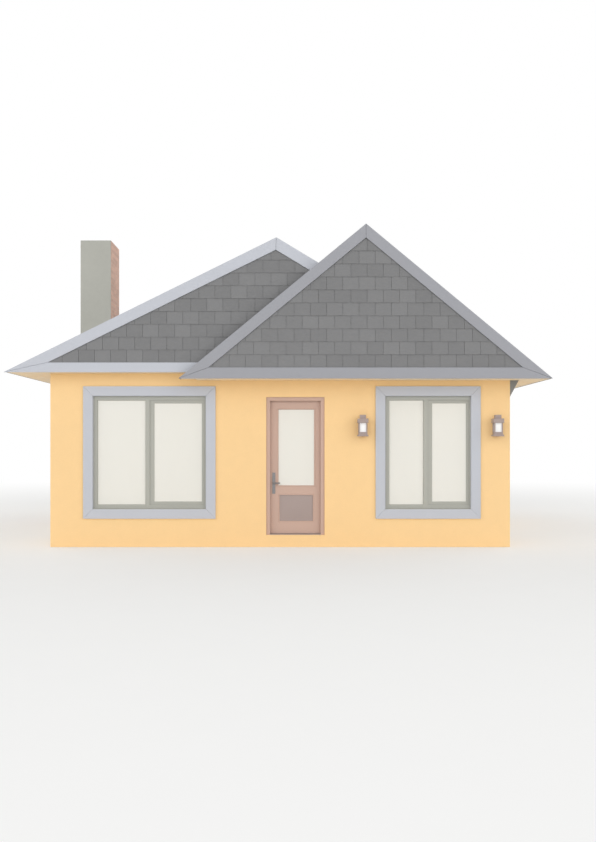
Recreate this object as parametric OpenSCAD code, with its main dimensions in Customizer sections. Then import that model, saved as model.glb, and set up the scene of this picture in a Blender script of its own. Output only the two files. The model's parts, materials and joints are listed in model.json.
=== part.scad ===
// Detached one-storey house with two parallel gabled roofs, one wide and low, one steeper.
// Millimetres, +Z up, +X right, the front faces -Y. The origin is on the ground at the middle
// of the outer walls.

/* [Walls] */
// Outside width of the walls
house_w = 7280; // [7000:10:9000]
// Outside depth of the walls, front to back
house_d = 9000; // [8000:10:12000]
// Thickness of the outer walls
wall_t = 250; // [150:10:350]
// How far the front and rear walls reach above the wide roof's eaves, inside the roof
wall_over = 90; // [60:10:110]
// Top of the floor slab, level with the door sill
floor_top = 190; // [100:10:300]
// How far the ceiling lies below the steep roof's eaves
ceiling_drop = 40; // [10:10:120]
// Thickness of the ceiling
ceiling_t = 100; // [40:10:150]

/* [Wide left roof] */
// How far its left eave stands out from the wall
left_overhang = 665; // [650:5:800]
// Where its ridge is
left_ridge_x = -55; // [-300:5:200]
// How far inside the right wall's face its right slope would end
left_far_in = 215; // [100:5:400]
// How far its eaves lie above the steep roof's eaves
eave_step = 110; // [60:5:160]
// Rise from its eaves to its ridge
left_rise = 2100; // [1900:10:2250]
// How far its gables stand out from the wall
left_verge = 250; // [200:10:320]
// Width of its sloping boards
left_barge_w = 170; // [165:1:200]
// Height of its level board
left_base_h = 150; // [100:5:200]

/* [Steep right roof] */
// Where its left eave ends
right_near_x = -1563; // [-1700:1:-1400]
// Where its ridge is
right_ridge_x = 1331; // [1200:1:1450]
// How far its right eave stands out from the wall
right_overhang = 570; // [500:5:700]
// Gap between the window surrounds and its eaves
eave_gap = 95; // [60:5:200]
// Rise from its eaves to its ridge
right_rise = 2387; // [2280:1:2500]
// How far its gables stand out from the wall
right_verge = 400; // [370:10:600]
// Width of its sloping boards
right_barge_w = 164; // [164:1:200]
// Height of its level board
right_base_h = 170; // [100:5:200]

/* [Roof build-up] */
// Thickness of the sloping roof decks
deck_t = 140; // [80:5:180]
// Thickness of the slate covering that lies on them
slate_t = 22; // [12:1:30]
// Thickness of the gable boards
board_t = 30; // [20:1:45]
// Thickness of the gable faces
face_t = 60; // [40:5:90]
// Gap at the mitred ends of the gable boards
mitre_gap = 3; // [1:0.5:5]
// Thickness of the soffit boards
soffit_t = 25; // [15:1:40]
// How far the ridge caps reach down each slope, measured level
ridge_cap_w = 150; // [100:5:250]
// How far the ridge caps stand above the slates
ridge_cap_rise = 6; // [3:1:15]
// How far the valley lining reaches up each slope, measured level
valley_w = 170; // [120:5:250]
// Thickness of the valley lining
valley_t = 6; // [3:1:10]
// Gap where sloping faces lie on each other
bed_gap = 0.3; // [0.2:0.1:1]

/* [Eave brackets] */
// How far a bracket reaches out from the wall
bracket_w = 141; // [80:1:200]
// Height of a bracket
bracket_h = 262; // [150:1:350]
// Thickness of a bracket
bracket_t = 60; // [30:5:100]

/* [Chimney] */
// Width of the chimney, out from the left wall
chimney_w = 635; // [500:5:640]
// Depth of the chimney, along the left wall
chimney_d = 900; // [700:10:1200]
// How far its front lies behind the front wall
chimney_back = 4667; // [4500:1:5000]
// Top of the chimney
chimney_top = 5920; // [5400:10:6400]
// Width of the flue
flue_w = 230; // [150:5:300]
// Depth of the flue
flue_d = 460; // [200:5:600]
// Level of the flue's closed end
flue_z = 700; // [400:10:2000]
// Thickness of the smooth coat on its front and rear
coat_t = 15; // [10:1:30]

/* [Windows] */
// Middle of the wide window
wide_x = -2070; // [-2300:1:-1900]
// Width of the wide window's opening
wide_w = 1795; // [1400:5:2000]
// Middle of the narrow window
narrow_x = 2342; // [2200:1:2450]
// Width of the narrow window's opening
narrow_w = 1362; // [1000:1:1500]
// Level of the windows' sills
sill_z = 600; // [500:5:800]
// Height of the window openings
window_h = 1795; // [1400:5:1840]
// Middle of the side windows, before and behind the middle of the side walls
side_y = 2500; // [2200:10:2900]
// Width of the surrounds
trim_w = 150; // [80:2:160]
// Thickness of the surrounds
trim_t = 25; // [15:1:40]
// How far the frames lie behind the wall's face
frame_set = 25; // [0:5:100]
// Depth of the frames
frame_d = 70; // [50:5:90]
// Width of the frames' bars
frame_w = 67; // [40:1:90]
// Width of the frames' bar beside the sliding sash
frame_slim = 25; // [20:1:40]
// Width of the frames' middle bar
mullion_w = 66; // [40:1:90]
// Width of the sash's bar at the middle
sash_stile = 65; // [40:1:90]
// Height of the sash's level bars
sash_rail = 45; // [30:1:80]
// Depth of the sashes
sash_d = 44; // [36:2:48]
// Thickness of the panes
pane_t = 24; // [6:2:32]

/* [Door] */
// Middle of the doorway
door_x = 241; // [150:1:350]
// Width of the doorway
door_w = 924; // [850:1:1000]
// Height of the doorway
door_h = 2186; // [2000:1:2300]
// How far the door frame lies behind the wall's face
door_set = 20; // [0:5:40]
// Depth of the door frame
door_frame_d = 110; // [90:5:130]
// Width of the frame's stop, seen from outside
stop_w = 60; // [55:1:80]
// Width of the frame beside the leaf
jamb_w = 45; // [30:1:50]
// Thickness of the leaf
leaf_t = 50; // [40:1:60]
// Gap round the leaf
leaf_gap = 5; // [5:0.5:8]
// Gap at the leaf's lock edge
lock_gap = 8; // [7:0.5:12]
// Height of the threshold
threshold_h = 15; // [10:1:30]
// Left edge of the leaf's glass, from the left of the doorway
door_glass_left = 187; // [180:1:220]
// Width of the leaf's glass
door_glass_w = 578; // [450:1:580]
// Level of the glass, above the sill
door_glass_z = 777; // [750:1:900]
// Height of the glass
door_glass_h = 1219; // [1000:1:1230]
// Thickness of the glass
door_glass_t = 24; // [6:2:30]
// Width of the lower panel
panel_w = 531; // [400:1:560]
// Level of the lower panel, above the sill
panel_z = 218; // [180:1:240]
// Height of the lower panel
panel_h = 412; // [300:1:430]
// Thickness of the lower panel
panel_t = 36; // [20:2:46]

/* [Handle] */
// Middle of the handle plates, from the left of the doorway
plate_x = 119; // [115:1:130]
// Width of the plates
plate_w = 47; // [36:1:50]
// Height of the plates
plate_h = 336; // [200:2:360]
// Thickness of the plates
plate_t = 8; // [5:1:12]
// Level of the middle of the plates, above the sill
plate_z = 818; // [780:1:900]
// Level of the levers, above the sill
lever_z = 820; // [780:1:900]
// Length of the levers from the spindle
lever_l = 103; // [90:1:130]
// Radius of the levers' grips
grip_r = 12; // [9:0.5:14]
// Distance from the leaf to the middle of the grips
grip_out = 48; // [40:1:50]
// Radius of the spindle
spindle_r = 6; // [4:0.5:7]
// Running gap round the spindle
spindle_gap = 0.4; // [0.3:0.1:0.6]

/* [Hinges] */
// Radius of the hinge barrels
barrel_r = 9; // [7:0.5:10]
// Height of each half of a barrel
barrel_h = 60; // [40:1:80]
// Radius of the hinge pins
pin_r = 5; // [3:0.5:6]
// Running gap round a pin
pin_gap = 0.4; // [0.3:0.1:0.6]
// Distance from the inner face of the leaf to the barrels' axis
barrel_out = 12; // [10:0.5:14]
// Length of the flaps
flap_l = 32; // [20:1:40]
// Thickness of the flaps
flap_t = 4; // [2:0.5:6]

/* [Lamps] */
// Middle of the left lamp
lamp_left_x = 1300; // [1200:1:1400]
// Middle of the right lamp
lamp_right_x = 3420; // [3350:1:3450]
// Level of the lamps' foot
lamp_z = 1754; // [1700:1:1800]
// Width of the foot and the cap
lamp_w = 166; // [140:1:190]
// Height of the foot
lamp_foot_h = 24; // [10:1:40]
// Width of the lantern between them
lantern_w = 136; // [110:1:138]
// Height of the lantern's closed base
lantern_base_h = 38; // [20:1:60]
// Height of the lantern's glass
lantern_glass_h = 150; // [120:1:200]
// Width of the lantern's corner posts
lantern_post = 18; // [10:1:30]
// Height of the cap
lamp_cap_h = 64; // [40:1:80]
// Width of the chimney on the cap
lamp_top_w = 95; // [60:1:120]
// Height of the chimney on the cap
lamp_top_h = 58; // [40:1:80]
// Gap between the wall plate and the lantern
lamp_gap = 24; // [10:1:60]
// Thickness of the wall plate
lamp_plate_t = 12; // [6:1:20]

/* [Hidden] */

slate_grey = "#828283";
pale_trim = "#c4c7cf";
grey_trim = "#a5a6ab";
wall_cream = "#fdd79f";
smooth_coat = "#b2b2aa";
brown_pink = "#c3a596";
pane_white = "#eceae2";
taupe = "#aa9a95";
handle_grey = "#918f8f";
bracket_grey = "#8a8a88";
concrete = "#b5b3ad";
lamp_white = "#f8f8f8";

$fn = 48;
cut = 20;
half_w = house_w / 2;
half_d = house_d / 2;

right_eave_z = sill_z + window_h + trim_w + eave_gap;
left_eave_z = right_eave_z + eave_step;
left_ridge_z = left_eave_z + left_rise;
right_ridge_z = right_eave_z + right_rise;
left_eave_x = -half_w - left_overhang;
right_eave_x = half_w + right_overhang;
left_far_x = half_w - left_far_in;
wall_top = left_eave_z + wall_over;
ceiling_z = right_eave_z - ceiling_drop;

// A roof as [left eave x, right eave x, eave z, ridge x, ridge z].
left_roof = [left_eave_x, left_far_x, left_eave_z, left_ridge_x, left_ridge_z];
right_roof = [right_near_x, right_eave_x, right_eave_z, right_ridge_x, right_ridge_z];
deck_in = slate_t + deck_t;

function pitch_left(g) = atan((g[4] - g[2]) / (g[3] - g[0]));
function pitch_right(g) = atan((g[4] - g[2]) / (g[1] - g[3]));
// The ridge point of a roof whose slopes are moved in by d.
function ridge_x(g, d) = let (a = pitch_left(g), b = pitch_right(g))
    (tan(b) * g[1] + tan(a) * g[0] + d / cos(a) - d / cos(b)) / (tan(a) + tan(b));
function ridge_z(g, d) = let (a = pitch_left(g))
    g[2] + tan(a) * (ridge_x(g, d) - g[0]) - d / cos(a);
// Triangle of a roof with its slopes moved in by d and its base moved up by b.
function outline(g, d, b) = [
    [g[0] + d / sin(pitch_left(g)) + b / tan(pitch_left(g)), g[2] + b],
    [ridge_x(g, d), ridge_z(g, d)],
    [g[1] - d / sin(pitch_right(g)) - b / tan(pitch_right(g)), g[2] + b]];
// Height at x of a slope moved in by d.
function under_left(g, d, x) = g[2] + tan(pitch_left(g)) * (x - g[0]) - d / cos(pitch_left(g));
function under_right(g, d, x) = g[2] + tan(pitch_right(g)) * (g[1] - x) - d / cos(pitch_right(g));

left_end = half_d + left_verge;
right_end = half_d + right_verge;
// What lies under the decks keeps the gap from them.
bed_in = deck_in + bed_gap;
right_near_inner_x = outline(right_roof, bed_in, 0)[0][0];
// Where the two roofs' slopes cross, on the decks.
valley_x = let (a = pitch_right(left_roof), b = pitch_left(right_roof))
    (left_eave_z + tan(a) * left_far_x - slate_t / cos(a) - right_eave_z
    + tan(b) * right_near_x + slate_t / cos(b)) / (tan(a) + tan(b));
valley_z = under_left(right_roof, slate_t, valley_x);

chimney_y = chimney_back - half_d;
door_x0 = door_x - door_w / 2;
door_x1 = door_x + door_w / 2;
door_top = floor_top + door_h;
door_y = door_set - half_d;
leaf_y1 = door_y + door_frame_d;
leaf_y0 = leaf_y1 - leaf_t;
leaf_x0 = door_x0 + jamb_w + lock_gap;
leaf_x1 = door_x1 - jamb_w - leaf_gap;
leaf_z0 = floor_top + threshold_h + leaf_gap;
leaf_z1 = door_top - jamb_w - leaf_gap;
glass_x0 = door_x0 + door_glass_left;
panel_x0 = glass_x0 + (door_glass_w - panel_w) / 2;
spindle_x = door_x0 + plate_x;
spindle_z = floor_top + lever_z;
sash_y = frame_set + (frame_d - sash_d) / 2;
pane_y = frame_set + (frame_d - pane_t) / 2;
hinge_x = (leaf_x1 + door_x1 - jamb_w) / 2;
hinge_y = leaf_y1 + barrel_out;
hinge_split = 0.5;
pin_short = 10;
neck = 4;
hinge_end = 190;
hinge_levels = [leaf_z0 + hinge_end, (leaf_z0 + leaf_z1) / 2, leaf_z1 - hinge_end];

module box(x0, x1, y0, y1, z0, z1) translate([x0, y0, z0]) cube([x1 - x0, y1 - y0, z1 - z0]);

// A shape drawn in X and Z, made solid from y0 to y1.
module along_y(y0, y1) translate([0, y1, 0]) rotate([90, 0, 0]) linear_extrude(y1 - y0) children();

// The same at the front and mirrored at the rear.
module both_ends() {
    children();
    mirror([0, 1, 0]) children();
}

// Places a window's own frame, whose outside faces -Y, on the wall turned so far and out so
// far from the middle. $w is the window's width.
module on_wall(turn, out, along, w) {
    $w = w;
    rotate([0, 0, turn]) translate([along, -out, sill_z]) children();
}

module front_windows() {
    on_wall(0, half_d, wide_x, wide_w) children();
    on_wall(0, half_d, narrow_x, narrow_w) children();
}

module side_windows() {
    for (turn = [-90, 90]) for (y = [-side_y, side_y])
        on_wall(turn, half_w, y, narrow_w) children();
    on_wall(180, half_d, -wide_x, wide_w) children();
    on_wall(180, half_d, -narrow_x, narrow_w) children();
}

module window_hole() box(-$w / 2, $w / 2, -cut, wall_t + cut, 0, window_h);

module window_holes() {
    front_windows() window_hole();
    side_windows() window_hole();
}

module floor_slab() color(concrete)
    box(wall_t - half_w, half_w - wall_t, wall_t - half_d, half_d - wall_t, 0, floor_top);

module front_wall_left() color(wall_cream) difference() {
    box(-half_w, door_x0, -half_d, wall_t - half_d, 0, wall_top);
    window_holes();
}

module front_wall_right() color(wall_cream) difference() {
    box(door_x1, half_w, -half_d, wall_t - half_d, 0, wall_top);
    window_holes();
}

module front_wall_over_door() color(wall_cream)
    box(door_x0, door_x1, -half_d, wall_t - half_d, door_top, wall_top);

module front_wall_under_door() color(wall_cream)
    box(door_x0, door_x1, -half_d, wall_t - half_d, 0, floor_top);

module left_wall() color(wall_cream) difference() {
    along_y(wall_t - half_d, half_d - wall_t) polygon([[-half_w, 0],
        [-half_w, under_left(left_roof, bed_in, -half_w)],
        [wall_t - half_w, under_left(left_roof, bed_in, wall_t - half_w)],
        [wall_t - half_w, 0]]);
    window_holes();
}

module right_wall() color(wall_cream) difference() {
    along_y(wall_t - half_d, half_d - wall_t) polygon([[half_w, 0],
        [half_w, under_right(right_roof, bed_in, half_w)],
        [half_w - wall_t, under_right(right_roof, bed_in, half_w - wall_t)],
        [half_w - wall_t, 0]]);
    window_holes();
}

module rear_wall() color(wall_cream) difference() {
    box(-half_w, half_w, half_d - wall_t, half_d, 0, wall_top);
    window_holes();
}

module ceiling() color(pane_white) box(wall_t - half_w, half_w - wall_t, wall_t - half_d,
    half_d - wall_t, ceiling_z, ceiling_z + ceiling_t);

// One slope of a roof in X and Z, down to its soffits: side 0 is the left slope and side 2 the
// right one.
module slope(g, side, outer, inner) polygon([outline(g, outer, soffit_t)[side],
    outline(g, outer, soffit_t)[1], outline(g, inner, soffit_t)[1], outline(g, inner, soffit_t)[side]]);

// What the steep roof covers of the wide one.
module steep_shape() polygon(outline(right_roof, slate_t - bed_gap, 0));

module chimney_space() box(left_eave_x - cut, -half_w, chimney_y, chimney_y + chimney_d, 0,
    chimney_top);

module left_roof_left_slope() color(slate_grey) difference() {
    along_y(board_t - left_end, left_end - board_t) slope(left_roof, 0, slate_t, deck_in);
    chimney_space();
}

module left_roof_right_slope() color(slate_grey)
    along_y(board_t - left_end, left_end - board_t) difference() {
        slope(left_roof, 2, slate_t, deck_in);
        steep_shape();
    }

// Down to the valley over the house, and down to the eave in the strips at both ends.
module right_roof_left_slope() color(slate_grey) {
    along_y(-left_end, left_end) difference() {
        slope(right_roof, 0, slate_t, deck_in);
        polygon(outline(left_roof, deck_in, right_eave_z - left_eave_z - cut));
    }
    both_ends() along_y(board_t - right_end, -left_end)
        slope(right_roof, 0, slate_t, deck_in);
}

module right_roof_right_slope() color(slate_grey)
    along_y(board_t - right_end, right_end - board_t)
        slope(right_roof, 2, slate_t, deck_in);

module left_gable_faces() color(slate_grey)
    both_ends() along_y(board_t - left_end, board_t + face_t - left_end) difference() {
        polygon(outline(left_roof, bed_in, soffit_t));
        steep_shape();
    }

module right_gable_faces() color(slate_grey)
    both_ends() along_y(board_t - right_end, board_t + face_t - right_end)
        polygon(outline(right_roof, bed_in, soffit_t));

// The three mitred boards of a gable, in X and Z: the part from corner a to corner b.
module board(g, w, h, a, b) intersection() {
    polygon([outline(g, 0, 0)[a], outline(g, 0, 0)[b], outline(g, w, h)[b], outline(g, w, h)[a]]);
    offset(delta = -mitre_gap / 2) polygon([outline(g, -cut, -cut)[a], outline(g, -cut, -cut)[b],
        outline(g, w + cut, h + cut)[b], outline(g, w + cut, h + cut)[a]]);
}

module left_gable_bargeboards() color(pale_trim)
    both_ends() along_y(-left_end, board_t - left_end) difference() {
        union() {
            board(left_roof, left_barge_w, left_base_h, 0, 1);
            board(left_roof, left_barge_w, left_base_h, 2, 1);
        }
        steep_shape();
    }

module left_gable_base_boards() color(pale_trim)
    both_ends() along_y(-left_end, board_t - left_end) difference() {
        board(left_roof, left_barge_w, left_base_h, 0, 2);
        steep_shape();
    }

module right_gable_bargeboards() color(grey_trim)
    both_ends() along_y(-right_end, board_t - right_end) {
        board(right_roof, right_barge_w, right_base_h, 0, 1);
        board(right_roof, right_barge_w, right_base_h, 2, 1);
    }

module right_gable_base_boards() color(grey_trim)
    both_ends() along_y(-right_end, board_t - right_end)
        board(right_roof, right_barge_w, right_base_h, 0, 2);

module ridge_cap(g, reach) along_y(-reach, reach) intersection() {
    difference() {
        polygon(outline(g, -ridge_cap_rise, 0));
        polygon(outline(g, slate_t - bed_gap, -cut));
    }
    translate([g[3] - ridge_cap_w, g[2]]) square([2 * ridge_cap_w, g[4] - g[2] + house_w]);
}

module ridge_caps() color(slate_grey) {
    ridge_cap(left_roof, left_end - board_t);
    ridge_cap(right_roof, right_end - board_t);
}

module valley_lining() color(handle_grey) along_y(board_t - left_end, left_end - board_t)
    intersection() {
        difference() {
            union() {
                polygon(outline(left_roof, slate_t - valley_t, 0));
                polygon(outline(right_roof, slate_t - valley_t, 0));
            }
            polygon(outline(left_roof, slate_t - bed_gap, -cut));
            polygon(outline(right_roof, slate_t - bed_gap, -cut));
        }
        translate([valley_x - valley_w, valley_z - valley_w])
            square([2 * valley_w, 3 * valley_w]);
    }

// A soffit in X and Z from a roof's eave to x: side 0 is the left eave and side 2 the right one.
module soffit(g, side, x) polygon([outline(g, slate_t, 0)[side], [x, g[2]], [x, g[2] + soffit_t],
    outline(g, slate_t, soffit_t)[side]]);

module side_soffits() color(pale_trim) {
    difference() {
        along_y(board_t - left_end, left_end - board_t) soffit(left_roof, 0, -half_w);
        chimney_space();
    }
    along_y(board_t - right_end, right_end - board_t) soffit(right_roof, 2, half_w);
}

// Under the gables, with a step where the steep roof's soffit lies lower.
module gable_soffits() color(pale_trim) both_ends() {
    box(-half_w, right_near_inner_x + soffit_t, board_t - left_end, -half_d,
        left_eave_z, left_eave_z + soffit_t);
    box(right_near_inner_x, right_near_inner_x + soffit_t, -left_end, -half_d,
        right_eave_z, left_eave_z);
    along_y(board_t - right_end, -left_end) soffit(right_roof, 0, half_w);
    box(right_near_inner_x, half_w, -left_end, -half_d, right_eave_z, right_eave_z + soffit_t);
}

module eave_brackets() color(bracket_grey) both_ends() along_y(-half_d, bracket_t - half_d)
    polygon([[half_w, right_eave_z], [half_w + bracket_w, right_eave_z],
        [half_w, right_eave_z - bracket_h]]);

module chimney_stack() color(brown_pink) difference() {
    box(-half_w - chimney_w, -half_w, chimney_y + coat_t, chimney_y + chimney_d - coat_t, 0,
        chimney_top);
    translate([-half_w - chimney_w / 2 - flue_w / 2, chimney_y + chimney_d / 2 - flue_d / 2, flue_z])
        cube([flue_w, flue_d, chimney_top]);
}

module chimney_coat() color(smooth_coat) for (y = [chimney_y, chimney_y + chimney_d - coat_t])
    box(-half_w - chimney_w, -half_w, y, y + coat_t, 0, chimney_top);

// A window's pieces in its own frame: y = 0 is the wall's face, z = 0 the sill.
function pane_w(w) = (w - 2 * frame_w - mullion_w - sash_stile) / 2;
function fixed_x0(w) = frame_w - w / 2;
function sash_x0(w) = fixed_x0(w) + pane_w(w) + mullion_w;
function sash_x1(w) = w / 2 - frame_slim;

module window_trim() difference() {
    box(-$w / 2 - trim_w, $w / 2 + trim_w, -trim_t, 0, -trim_w, window_h + trim_w);
    box(-$w / 2, $w / 2, -trim_t - cut, cut, 0, window_h);
}

module window_frame() difference() {
    box(-$w / 2, $w / 2, frame_set, frame_set + frame_d, 0, window_h);
    box(fixed_x0($w), fixed_x0($w) + pane_w($w), 0, wall_t, frame_w, window_h - frame_w);
    box(sash_x0($w), sash_x1($w), 0, wall_t, frame_w, window_h - frame_w);
}

module window_sash() difference() {
    box(sash_x0($w), sash_x1($w), sash_y, sash_y + sash_d, frame_w, window_h - frame_w);
    box(sash_x0($w) + sash_stile, sash_x0($w) + sash_stile + pane_w($w), 0, wall_t,
        frame_w + sash_rail, window_h - frame_w - sash_rail);
}

module window_glass() {
    box(fixed_x0($w), fixed_x0($w) + pane_w($w), pane_y, pane_y + pane_t,
        frame_w, window_h - frame_w);
    box(sash_x0($w) + sash_stile, sash_x0($w) + sash_stile + pane_w($w), pane_y, pane_y + pane_t,
        frame_w + sash_rail, window_h - frame_w - sash_rail);
}

module front_window_trims() color(pale_trim) front_windows() window_trim();

module front_window_frames() color(smooth_coat) front_windows() window_frame();

module front_window_sashes() color(smooth_coat) front_windows() window_sash();

module side_window_trims() color(pale_trim) side_windows() window_trim();

module side_window_frames() color(smooth_coat) side_windows() window_frame();

module side_window_sashes() color(smooth_coat) side_windows() window_sash();

module window_panes() color(pane_white) {
    front_windows() window_glass();
    side_windows() window_glass();
}

// Jambs and head with a stop outside the leaf.
module door_frame() color(brown_pink) difference() {
    box(door_x0, door_x1, door_y, leaf_y1, floor_top, door_top);
    box(door_x0 + stop_w, door_x1 - stop_w, door_y - cut, leaf_y1 + cut, floor_top - cut,
        door_top - stop_w);
    box(door_x0 + jamb_w, door_x1 - jamb_w, leaf_y0 - leaf_gap, leaf_y1 + cut, floor_top - cut,
        door_top - jamb_w);
}

module door_threshold() color(taupe)
    box(door_x0 + stop_w, door_x1 - stop_w, door_y, leaf_y1, floor_top, floor_top + threshold_h);

module door_leaf() color(brown_pink) difference() {
    box(leaf_x0, leaf_x1, leaf_y0, leaf_y1, leaf_z0, leaf_z1);
    box(glass_x0, glass_x0 + door_glass_w, leaf_y0 - cut, leaf_y1 + cut,
        floor_top + door_glass_z, floor_top + door_glass_z + door_glass_h);
    box(panel_x0, panel_x0 + panel_w, leaf_y0 - cut, leaf_y1 + cut,
        floor_top + panel_z, floor_top + panel_z + panel_h);
    spindle(spindle_r + neck, leaf_y0 - cut, leaf_y1 + cut);
}

module door_glass() color(pane_white) box(glass_x0, glass_x0 + door_glass_w,
    (leaf_y0 + leaf_y1 - door_glass_t) / 2, (leaf_y0 + leaf_y1 + door_glass_t) / 2,
    floor_top + door_glass_z, floor_top + door_glass_z + door_glass_h);

module door_lower_panel() color(taupe) box(panel_x0, panel_x0 + panel_w,
    (leaf_y0 + leaf_y1 - panel_t) / 2, (leaf_y0 + leaf_y1 + panel_t) / 2,
    floor_top + panel_z, floor_top + panel_z + panel_h);

module spindle(r, y0, y1) translate([spindle_x, y1, spindle_z]) rotate([90, 0, 0])
    cylinder(h = y1 - y0, r = r);

module door_handle_plates() color(handle_grey) difference() {
    for (y = [leaf_y0 - plate_t, leaf_y1])
        box(spindle_x - plate_w / 2, spindle_x + plate_w / 2, y, y + plate_t,
            floor_top + plate_z - plate_h / 2, floor_top + plate_z + plate_h / 2);
    spindle(spindle_r + spindle_gap, leaf_y0 - plate_t - cut, leaf_y1 + plate_t + cut);
}

// The grips outside and inside, on one spindle.
module door_lever() color(handle_grey) {
    spindle(spindle_r, leaf_y0 - grip_out, leaf_y1 + grip_out);
    for (s = [[leaf_y0 - grip_out, leaf_y0 - plate_t - spindle_gap],
              [leaf_y1 + plate_t + spindle_gap, leaf_y1 + grip_out]])
        spindle(spindle_r + neck, s[0], s[1]);
    for (y = [leaf_y0 - grip_out, leaf_y1 + grip_out]) translate([spindle_x, y, spindle_z]) {
        sphere(r = grip_r);
        rotate([0, 90, 0]) cylinder(h = lever_l - grip_r, r = grip_r);
        translate([lever_l - grip_r, 0, 0]) sphere(r = grip_r);
    }
}

// Half of a lift-off hinge from z up: its barrel, and its flap at x0 on the inner face.
module hinge_half(z, x0) {
    translate([hinge_x, hinge_y, z]) cylinder(h = barrel_h, r = barrel_r);
    translate([hinge_x + x0, leaf_y1, z]) cube([flap_l, flap_t, barrel_h]);
    translate([hinge_x + (x0 < 0 ? -barrel_r : 0), leaf_y1, z])
        cube([barrel_r, barrel_out, barrel_h]);
}

// The lower halves, with their pins, on the frame.
module door_hinge_posts() color(handle_grey) for (z = hinge_levels) {
    hinge_half(z - barrel_h, 0);
    translate([hinge_x, hinge_y, z - barrel_h]) cylinder(h = 2 * barrel_h - pin_short, r = pin_r);
}

// The upper halves, bored for the pins, on the leaf.
module door_hinge_sleeves() color(handle_grey) for (z = hinge_levels) difference() {
    hinge_half(z + hinge_split, -flap_l);
    translate([hinge_x, hinge_y, z]) cylinder(h = 2 * barrel_h, r = pin_r + pin_gap);
}

lantern_z = lamp_z + lamp_foot_h;
lantern_glass_z = lantern_z + lantern_base_h;
lamp_cap_z = lantern_glass_z + lantern_glass_h;
lamp_top_z = lamp_cap_z + lamp_cap_h;
lamp_y = -half_d - lamp_plate_t - lamp_gap - lamp_w / 2;
arm_w = 36;
arm_h = 24;

// A square piece of a lamp, w wide, from z up by h.
module lamp_block(w, z, h) translate([-w / 2, -w / 2, z]) cube([w, w, h]);

// A square lantern, held to its wall plate by an arm at its foot and one at its cap.
module wall_lamp() {
    lamp_block(lamp_w, lamp_z, lamp_foot_h);
    lamp_block(lantern_w, lantern_z, lantern_base_h);
    for (turn = [0:90:270]) rotate([0, 0, turn])
        translate([lantern_w / 2 - lantern_post, lantern_w / 2 - lantern_post, lantern_glass_z])
            cube([lantern_post, lantern_post, lantern_glass_h]);
    lamp_block(lamp_w, lamp_cap_z, lamp_cap_h);
    lamp_block(lamp_top_w, lamp_top_z, lamp_top_h);
    box(-lamp_top_w / 2, lamp_top_w / 2, lamp_w / 2 + lamp_gap,
        lamp_w / 2 + lamp_gap + lamp_plate_t, lamp_z, lamp_top_z);
    for (z = [lamp_z, lamp_cap_z + lamp_cap_h / 2 - arm_h / 2])
        box(-arm_w / 2, arm_w / 2, lamp_w / 2, lamp_w / 2 + lamp_gap, z, z + arm_h);
}

module wall_lamps() color(taupe) for (x = [lamp_left_x, lamp_right_x])
    translate([x, lamp_y, 0]) wall_lamp();

module lamp_glasses() color(lamp_white) for (x = [lamp_left_x, lamp_right_x])
    translate([x, lamp_y, 0])
        lamp_block(lantern_w - 2 * lantern_post, lantern_glass_z, lantern_glass_h);

floor_slab();
front_wall_left();
front_wall_right();
front_wall_over_door();
front_wall_under_door();
left_wall();
right_wall();
rear_wall();
ceiling();
left_roof_left_slope();
left_roof_right_slope();
right_roof_left_slope();
right_roof_right_slope();
left_gable_faces();
right_gable_faces();
left_gable_bargeboards();
left_gable_base_boards();
right_gable_bargeboards();
right_gable_base_boards();
ridge_caps();
valley_lining();
side_soffits();
gable_soffits();
eave_brackets();
chimney_stack();
chimney_coat();
front_window_trims();
front_window_frames();
front_window_sashes();
side_window_trims();
side_window_frames();
side_window_sashes();
window_panes();
door_frame();
door_threshold();
door_hinge_posts();
door_leaf();
door_glass();
door_lower_panel();
door_hinge_sleeves();
door_handle_plates();
door_lever();
wall_lamps();
lamp_glasses();
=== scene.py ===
import json
import math
import random

import bmesh
import bpy
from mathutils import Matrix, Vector


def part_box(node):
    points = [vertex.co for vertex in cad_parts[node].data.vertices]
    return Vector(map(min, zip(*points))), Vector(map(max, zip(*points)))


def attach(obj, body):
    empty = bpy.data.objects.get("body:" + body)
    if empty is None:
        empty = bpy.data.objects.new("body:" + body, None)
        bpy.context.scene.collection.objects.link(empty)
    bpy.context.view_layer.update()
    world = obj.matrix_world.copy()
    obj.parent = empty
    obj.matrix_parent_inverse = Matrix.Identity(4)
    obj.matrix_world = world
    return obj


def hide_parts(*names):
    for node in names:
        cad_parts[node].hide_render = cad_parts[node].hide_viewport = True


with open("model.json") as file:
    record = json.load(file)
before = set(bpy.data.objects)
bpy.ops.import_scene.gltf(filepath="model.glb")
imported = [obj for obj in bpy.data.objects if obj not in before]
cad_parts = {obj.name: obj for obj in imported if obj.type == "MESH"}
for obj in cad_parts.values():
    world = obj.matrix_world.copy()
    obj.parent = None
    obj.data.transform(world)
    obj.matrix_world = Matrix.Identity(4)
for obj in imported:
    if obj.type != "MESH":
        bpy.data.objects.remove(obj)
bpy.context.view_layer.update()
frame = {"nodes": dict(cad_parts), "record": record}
nodes = frame["nodes"]
record = frame["record"]
slotOf = {part["node"]: part["material_slot"] for part in record["subparts"]}
bodyOf = {node: body for body, members in record["behaviour"]["bodies"].items() for node in members}
openings = {gap["name"]: [Vector(corner) for corner in gap["box_m"]]
            for gap in record["physics"]["openings"]}
across, back, up = Vector((1, 0, 0)), Vector((0, 1, 0)), Vector((0, 0, 1))
nearly = 0.001   # metres within which a corner counts as lying on a plane

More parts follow.
